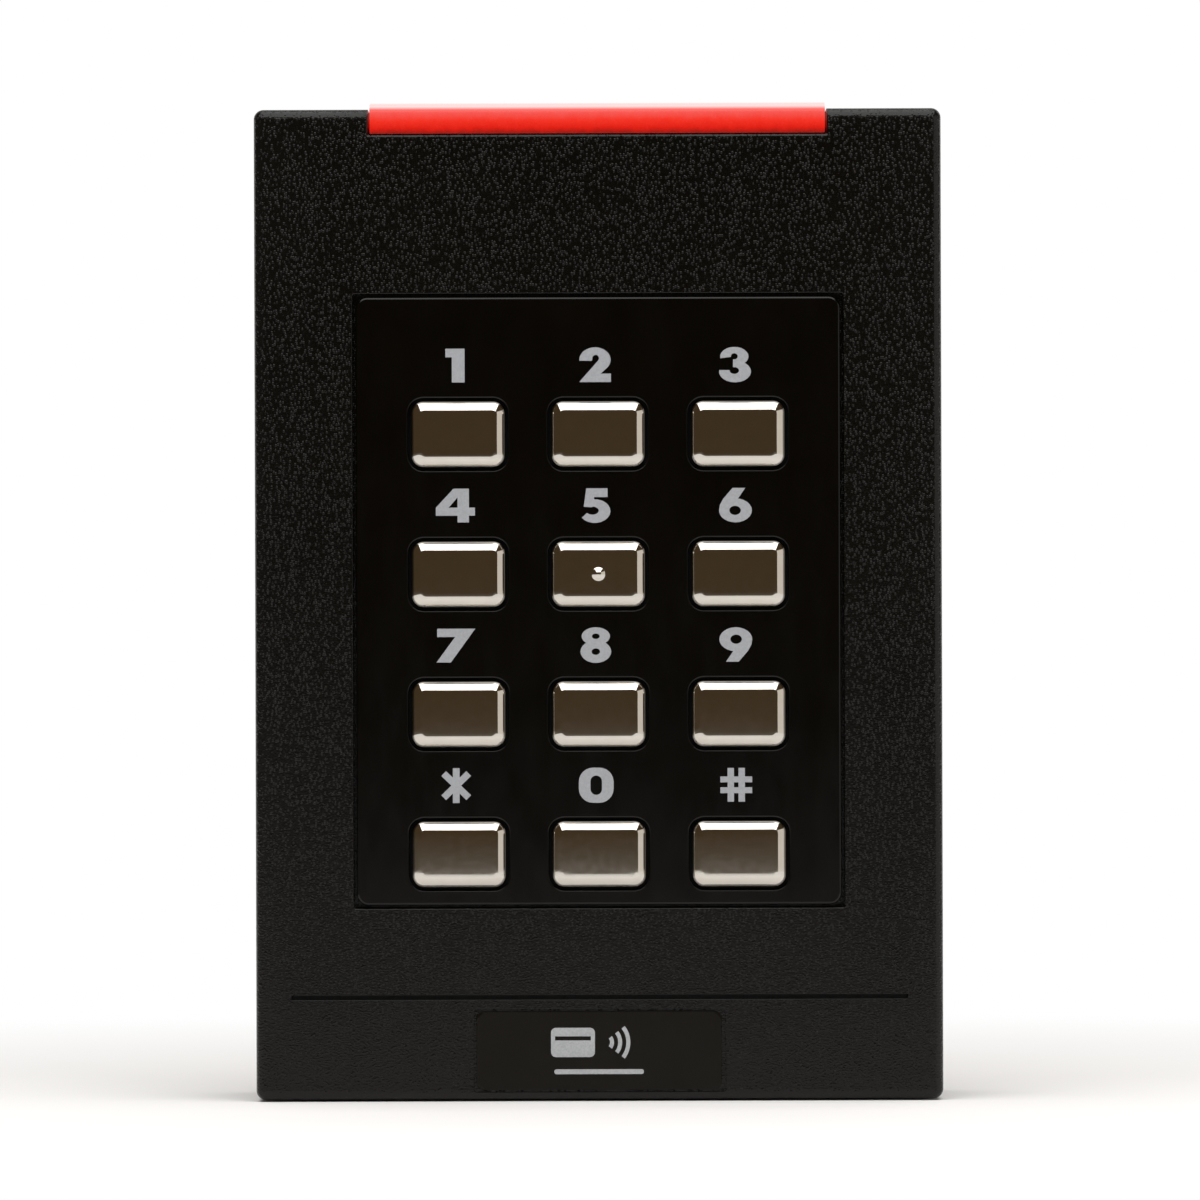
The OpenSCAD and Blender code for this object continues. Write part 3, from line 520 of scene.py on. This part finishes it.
# Moulded: two colours, roughness, grain, grain depth, specular level and patch size.
# Metal: two colours, roughness, and the stretch and depth of its tool marks.
FINISHES = {
    "housing_plastic": housing_finish(),
    "bezel_plastic": bezel_finish(),
    "key_plating": key_finish(),
    "light_pipe": light_finish(light_low, light_top, light_box.front),
    "legend_print": print_finish("legend_ink", (0.32, 0.33, 0.35), (0.37, 0.38, 0.40)),
    "label_face": moulded("label_film", (0.0040, 0.0028, 0.0012), (0.0052, 0.0040, 0.0022),
                          (0.20, 0.27), 0.3, 0.001, 0.17, 6),
    "label_print": print_finish("label_ink", (0.34, 0.355, 0.37), (0.42, 0.43, 0.44)),
    "gasket_foam": moulded("gasket_cells", (0.012, 0.012, 0.012), (0.022, 0.022, 0.022),
                           (0.85, 0.95), 0.25, 0.06, 0.2, 1.5),
    "silicone": moulded("silicone_grey", (0.13, 0.135, 0.14), (0.17, 0.175, 0.18),
                        (0.45, 0.6), 0.2, 0.004, 0.4, 3),
    "circuit_board": board_finish(),
    "copper_trace": metal("trace_copper", (0.62, 0.30, 0.13), (0.45, 0.20, 0.08), (0.3, 0.45)),
    "coil_wire": coil_finish(),
    "gold_plating": metal("contact_gold", (0.85, 0.62, 0.25), (0.74, 0.50, 0.18), (0.18, 0.32)),
    "steel": metal("screw_zinc", (0.58, 0.58, 0.60), (0.44, 0.44, 0.45),
                   (0.22, 0.40), (1, 3, 1), 0.006),
    "brass": metal("insert_brass", (0.66, 0.46, 0.17), (0.50, 0.34, 0.12),
                   (0.25, 0.42), (1, 1, 3), 0.008),
    "component_plastic": moulded("component_epoxy", (0.010, 0.010, 0.011), (0.016, 0.016, 0.017),
                                 (0.45, 0.62), 0.12, 0.006, 0.4, 2),
    "component_can": metal("component_can_metal", (0.70, 0.70, 0.71), (0.58, 0.58, 0.59),
                           (0.25, 0.4)),
    "chip_ceramic": moulded("chip_tan", (0.34, 0.22, 0.12), (0.42, 0.29, 0.17),
                            (0.4, 0.55), 0.1, 0.004, 0.5, 1),
    "lamp_resin": moulded("lamp_body", (0.70, 0.70, 0.64), (0.80, 0.80, 0.75),
                          (0.3, 0.42), 0.2, 0.002, 0.5, 1),
    "terminal_plastic": moulded("terminal_nylon", (0.006, 0.11, 0.055), (0.010, 0.15, 0.075),
                                (0.32, 0.46), 0.35, 0.006, 0.5, 4),
    "potting_resin": moulded("potting_pour", (0.0060, 0.0060, 0.0065), (0.0100, 0.0100, 0.0105),
                             (0.12, 0.32), 2.5, 0.05, 0.5, 8),
    "plate_plastic": moulded("plate_moulding", (0.016, 0.016, 0.016), (0.022, 0.022, 0.021),
                             (0.42, 0.56), 0.3, 0.02, 0.45, 10),
}

for part in NODES.values():
    for socket in part.material_slots:
        socket.material = FINISHES[socket.material.name]


# ---------------------------------------------------------------------------------------------
# Housing
# ---------------------------------------------------------------------------------------------

CORNER_R = 1.2
EDGE_R = 1.2
REAR_R = 0.3
# The skin starts this far inside the CAD solid that trims it, so that no faces coincide
SIDE_TRIM = 0.01
FRONT_TRIM = 0.002

GROOVE_UP = 12.6
GROOVE_LENGTH = 75.76
GROOVE_WIDTH = 0.56
WEAR_WIDTH = 1.2


def build_housing():
    body = housing_box
    front = body.front - FRONT_TRIM
    build = Builder()
    levels = [(inset, body.back + SIDE_TRIM + drop) for inset, drop in rounding(REAR_R, 4)[::-1]]
    levels += [(inset, front - drop) for inset, drop in rounding(EDGE_R, 10)]
    rings = []
    for inset, z in levels:
        inset += SIDE_TRIM
        outline = round_rect(body.w - 2 * inset, body.h - 2 * inset, CORNER_R - inset, 10)
        rings.append(build.ring(outline, z, body.x, body.y))
    build.loft(rings)
    build.cap(rings[0])
    build.cap(rings[-1])
    shell = linked("housing_shell", build.mesh("housing_shell"))
    apply_boolean(shell, linked("tool", welded("front_housing", "tool")), "INTERSECT")

    # Rounds the rims of the bezel's pocket, the label's recess, the groove and the light's notch.
    # Each is 0.04 mm narrower than its opening: walls that coincide would spoil the cuts.
    bezel = Extent("keypad_bezel")
    label = Extent("label_plate")
    groove_y = body.y - body.h / 2 + GROOVE_UP
    for x, y, w, h, r, rim in (
            (bezel.x, bezel.y, bezel.w + 0.8, bezel.h + 0.8, 0.3, 0.16),
            (0, label.y, label.w + 0.86, label.h + 0.56, 0.3, 0.12),
            (0, groove_y, GROOVE_LENGTH, GROOVE_WIDTH, 0.05, 0.07),
            (0, light_low + 3.9, light_box.w + 0.36, 7.96, 0.05, 0.36)):
        apply_boolean(shell, flared_tool(x, y, w, h, r, front, rim), "DIFFERENCE")
    shade(shell.data, 28)

    def groove_shade(co):
        """1 inside the groove, where its painted shade goes; 0 elsewhere."""
        inside = abs(co.x / MM) < 38 and abs(co.z / MM - groove_y) < 0.4
        return 1.0 if inside and -co.y / MM < body.front - 0.06 else 0.0

    def worn(co):
        """Grows to 1 towards the outer edges of the front."""
        out = max(abs(co.x / MM - body.x) - body.w / 2, abs(co.z / MM - body.y) - body.h / 2)
        ahead = -co.y / MM > body.front - 2 * EDGE_R
        return min(max(1 + (out + 0.35) / WEAR_WIDTH, 0), 1) * (1.0 if ahead else 0.0)

    # Marks the groove for its painted shade.
    store(shell.data, "groove_shade", groove_shade)
    store(shell.data, "worn", worn)
    finish_piece(shell, "housing_plastic", "root", ["front_housing"])


# ---------------------------------------------------------------------------------------------
# Bezel and keys
# ---------------------------------------------------------------------------------------------

BEZEL_CORNER_R = 1.4
BEZEL_EDGE_R = 0.3
OPENING_EDGE_R = 0.2

KEY_GAP = 0.4
KEY_R = 1.5
KEY_INSET = 1.4
KEY_DROP = 0.9
KEY_FACE_R = 0.5
KEY_RIM_SLOPE = 54
CROWN_X = 0.02
CROWN_Y = 0.010
DOT_R = 0.8
DOT_RISE = 0.35
FLANGE_LIP = 0.85
FLANGE_T = 1
SOCKET_R = 2.35
SOCKET_DEPTH = 1.5


def key_extent(name):
    """The key's own box, without the flange behind the bezel and the dot on key 5."""
    box = Extent("keycap_" + name)
    box.w -= 2 * FLANGE_LIP
    box.h -= 2 * FLANGE_LIP
    box.front = Extent("keycap_1").front
    return box


def build_bezel():
    plate = Extent("keypad_bezel")
    build = Builder()
    outline = round_rect(plate.w, plate.h, BEZEL_CORNER_R)
    outer = [build.ring(outline, plate.back, plate.x, plate.y)]
    for inset, drop in rounding(BEZEL_EDGE_R, 9):
        outline = round_rect(plate.w - 2 * inset, plate.h - 2 * inset, BEZEL_CORNER_R - inset)
        outer.append(build.ring(outline, plate.front - drop, plate.x, plate.y))
    build.loft(outer)
    fronts, backs = [], []
    for name in KEYS:
        key = key_extent(name)
        w, h, r = key.w + 2 * KEY_GAP, key.h + 2 * KEY_GAP, KEY_R + KEY_GAP
        rings = [build.ring(round_rect(w, h, r), plate.back, key.x, key.y)]
        for inset, drop in rounding(OPENING_EDGE_R, 8):
            outline = round_rect(w + 2 * inset, h + 2 * inset, r + inset)
            rings.append(build.ring(outline, plate.front - drop, key.x, key.y))
        build.loft(rings)
        backs.append(rings[0])
        fronts.append(rings[-1])
    build.cap(outer[-1], fronts)
    build.cap(outer[0], backs)
    data = build.mesh("bezel_panel")
    shade(data)
    finish_piece(linked("bezel_panel", data), "bezel_plastic", "root", ["keypad_bezel"])


def key_profile(inset, drop, first, last, steps):
    """Pairs of inset and drop from the key's flat face out to its side."""
    xs, zs = [0.0], [0.0]
    for i in range(steps):
        slope = math.radians(first + (last - first) * (i + 0.5) / steps)
        xs.append(xs[-1] + math.cos(slope))
        zs.append(zs[-1] + math.sin(slope))
    return [(inset * (1 - x / xs[-1]), drop * z / zs[-1]) for x, z in zip(xs, zs)]


def build_key(name):
    """A crowned face, a bevel that steepens towards its rim, a flange and a blind socket."""
    key = key_extent(name)
    dotted = name == "5"
    steps, runs = 10, 8
    face_w, face_h = key.w - 2 * KEY_INSET, key.h - 2 * KEY_INSET
    base = round_rect(key.w, key.h, KEY_R, steps, runs)
    face = round_rect(face_w, face_h, KEY_FACE_R, steps, runs)
    build = Builder()

    def dome(px, py):
        return key.front - CROWN_X * (2 * px / face_w) ** 2 - CROWN_Y * (2 * py / face_h) ** 2

    def height(px, py):
        if not dotted:
            return dome(px, py)
        away = math.hypot(px, py)
        ball = (DOT_R ** 2 + DOT_RISE ** 2) / (2 * DOT_RISE)
        rise = math.sqrt(max(ball ** 2 - away ** 2, 0)) + DOT_RISE - ball if away < DOT_R else 0
        return max(dome(px, py), key.front + rise)

    def vert(px, py, z):
        return build.bm.verts.new(point(px + key.x, py + key.y, z))

    heart, rounds = (0.95, 12) if dotted else (0.4, 3)
    turns = [math.atan2(py, px) for px, py in face]
    rings = []
    for i in range(1, rounds + 1):
        r = heart * i / rounds
        outline = [(r * math.cos(turn), r * math.sin(turn)) for turn in turns]
        rings.append([vert(px, py, height(px, py)) for px, py in outline])
    middle = vert(0, 0, height(0, 0))
    for i in range(len(face)):
        build.bm.faces.new((rings[0][i - 1], rings[0][i], middle))

    core = [(heart * math.cos(turn), heart * math.sin(turn)) for turn in turns]
    spread = 7
    for i in range(1, spread + 1):
        outline = [mixed(one, two, i / spread) for one, two in zip(core, face)]
        rings.append([vert(px, py, dome(px, py)) for px, py in outline])
    for side, fall in key_profile(KEY_INSET, KEY_DROP, 0, KEY_RIM_SLOPE, 16)[1:]:
        ring = []
        for one, two in zip(face, base):
            top = dome(*one)
            z = top + (key.front - KEY_DROP - top) * fall / KEY_DROP
            ring.append(vert(*mixed(one, two, 1 - side / KEY_INSET), z))
        rings.append(ring)

    flange_front = key.back + FLANGE_T
    wide = round_rect(key.w + 2 * FLANGE_LIP, key.h + 2 * FLANGE_LIP, KEY_R + FLANGE_LIP,
                      steps, runs)
    for outline, z in (
            (base, key.front - KEY_DROP - 0.25), (base, flange_front + 0.4),
            (base, flange_front + 0.25), (base, flange_front),
            (wide, flange_front), (wide, key.back)):
        rings.append(build.ring(outline, z, key.x, key.y))
    build.loft(rings)
    socket = [build.ring(circle(SOCKET_R), z, key.x, key.y)
              for z in (key.back, key.back + SOCKET_DEPTH)]
    build.cap(rings[-1], [socket[0]])
    build.loft(socket)
    build.cap(socket[-1])
    data = build.mesh("cap_" + name)
    # Marks the flange for its painted shade.
    store(data, "flange_shade", lambda co: 1.0 if -co.y < (flange_front + 0.3) * MM else 0.0)
    shade(data, 40)
    finish_piece(linked("cap_" + name, data), "key_plating", "key_" + name, ["keycap_" + name],
                 weighted=False)


SKIRT_FOOT_R = 4.2
SKIRT_WALL = 0.5
SKIRT_LEAN = 1.4
SKIRT_BULGE = 0.12


def build_skirt(name):
    """The silicone cone that springs a key back."""
    key = key_extent(name)
    skirts = Extent("dome_skirts")
    build = Builder()
    steps = 10
    outer, inner = [], []
    for i in range(steps + 1):
        part = i / steps
        bulge = SKIRT_BULGE * math.sin(math.pi * part)
        z = skirts.back + (skirts.front - skirts.back) * part
        outer.append((SKIRT_FOOT_R - SKIRT_LEAN * part + bulge, z))
        inner.append((SKIRT_FOOT_R - SKIRT_WALL - SKIRT_LEAN * part + bulge, z))
    rings = [build.ring(circle(r, 64), z, key.x, key.y) for r, z in outer + inner[::-1]]
    build.loft(rings + [rings[0]])
    data = build.mesh("skirt_" + name)
    shade(data)
    skirt = linked("skirt_" + name, data)
    finish_piece(skirt, "silicone", "root", ["dome_skirts"], weighted=False)
    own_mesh(skirt)


build_housing()
build_bezel()
for key_name in KEYS:
    build_key(key_name)
    build_skirt(key_name)
# CAD node, piece, width of its rounded edges, material
for node, piece_name, width, slot in (
        ("light_bar", "light_pipe_bar", 0.15, "light_pipe"),
        ("label_plate", "label_card", 0.12, "label_face"),
        ("mounting_plate", "wall_plate", 0.2, "plate_plastic"),
        ("cover_screw", "security_screw", 0.12, "steel"),
        ("terminal_block", "terminal_body", 0.12, "terminal_plastic"),
        ("potting_fill", "potting_pool", 0.1, "potting_resin")):
    finish_piece(softened(node, piece_name, width), slot, "root", [node])


# ---------------------------------------------------------------------------------------------
# Stage, light and camera
# ---------------------------------------------------------------------------------------------

PALE = (1.0, 1.0, 1.0)
FLOOR_R = 0.55
FLOOR_GAP = 0.2
FADE_FROM = 0.07
FADE_TO = FLOOR_R * 0.45

CAMERA_AWAY = 1.2
FIELD = 147.45
SENSOR = 36
AIM_X = 0.18
AIM_Y = 0.50
ROLL = 0.17


def build_floor():
    """A pale disc under the reader that runs out into the pale surroundings."""
    level = (housing_box.y - housing_box.h / 2 - FLOOR_GAP) * MM
    build = Builder()
    rounds, spokes = 12, 96
    rings = []
    for i in range(1, rounds + 1):
        outline = circle(FLOOR_R * i / rounds, spokes)
        rings.append([build.bm.verts.new(Vector((x, y, level))) for x, y in outline])
    build.bm.faces.new(rings[0])
    build.loft(rings)
    floor = linked("floor", build.mesh("floor"))
    n = Nodes("floor_pale")
    n.set(Base_Color=n.blend(n.noise(40, 3), (0.86, 0.85, 0.84), (0.89, 0.88, 0.87)),
          Roughness=0.9, Specular_IOR_Level=0.1)
    away = n.add("ShaderNodeVectorMath", operation="LENGTH")
    n.link(n.place, away.inputs[0])
    fade = n.remap(away.outputs["Value"], FADE_FROM, FADE_TO, 0, 1, "SMOOTHSTEP")
    glow = n.add("ShaderNodeEmission")
    glow.inputs["Color"].default_value = (*PALE, 1)
    mix = n.add("ShaderNodeMixShader")
    n.link(fade, mix.inputs["Fac"])
    n.link(n.shader.outputs["BSDF"], mix.inputs[1])
    n.link(glow.outputs["Emission"], mix.inputs[2])
    n.link(mix.outputs["Shader"], n.tree.nodes["Material Output"].inputs["Surface"])
    floor.data.materials.append(n.material)


def add_area(name, place, aim, size, power, colour=(1, 1, 1)):
    light = bpy.data.lights.new(name, "AREA")
    light.shape = "RECTANGLE"
    light.size, light.size_y = size
    light.energy = power
    light.color = colour
    lamp = bpy.data.objects.new(name, light)
    lamp.location = place
    lamp.rotation_euler = (Vector(aim) - Vector(place)).to_track_quat("-Z", "Y").to_euler()
    lamp.visible_camera = False
    bpy.context.scene.collection.objects.link(lamp)


def build_world():
    """Pale behind the reader and where the camera looks, dim in front of it."""
    world = bpy.data.worlds.new("studio")
    bpy.context.scene.world = world
    world.use_nodes = True
    n = Graph(world.node_tree)
    split = n.add("ShaderNodeSeparateXYZ")
    n.link(n.add("ShaderNodeTexCoord").outputs["Generated"], split.inputs["Vector"])
    behind = n.remap(split.outputs["Y"], 0.20, 0.60, 0, 1)
    low = n.remap(split.outputs["Z"], -0.018, -0.055, 0, 1)
    front = n.blend(low, (0.068, 0.046, 0.025), (0.150, 0.136, 0.113))
    room = n.blend(behind, front, (0.80, 0.79, 0.78))
    seen = n.blend(n.add("ShaderNodeLightPath").outputs["Is Camera Ray"], room, PALE)
    n.link(seen, n.tree.nodes["Background"].inputs["Color"])


def add_camera():
    """Straight in front of the reader, rolled by a fraction of a degree."""
    data = bpy.data.cameras.new("camera")
    data.sensor_width = SENSOR
    data.lens = SENSOR * CAMERA_AWAY / (FIELD * MM)
    data.clip_start = 0.01
    camera = bpy.data.objects.new("camera", data)
    camera.location = point(AIM_X, AIM_Y, housing_box.front) + Vector((0, -CAMERA_AWAY, 0))
    camera.rotation_euler = (math.radians(90), math.radians(ROLL), 0)
    bpy.context.scene.collection.objects.link(camera)
    bpy.context.scene.camera = camera


build_floor()
build_world()
# Place, aim, width and height in metres; power in watts; colour
add_area("overhead", (0.0, -0.40, 0.60), (0, -0.20, 0), (0.9, 1.1), 9.4)
add_area("right", (0.615, -0.313, 0.07), (0, 0, 0), (0.80, 0.45), 0.85, (1.0, 0.97, 0.93))
add_camera()
bpy.context.scene.view_settings.view_transform = "Standard"
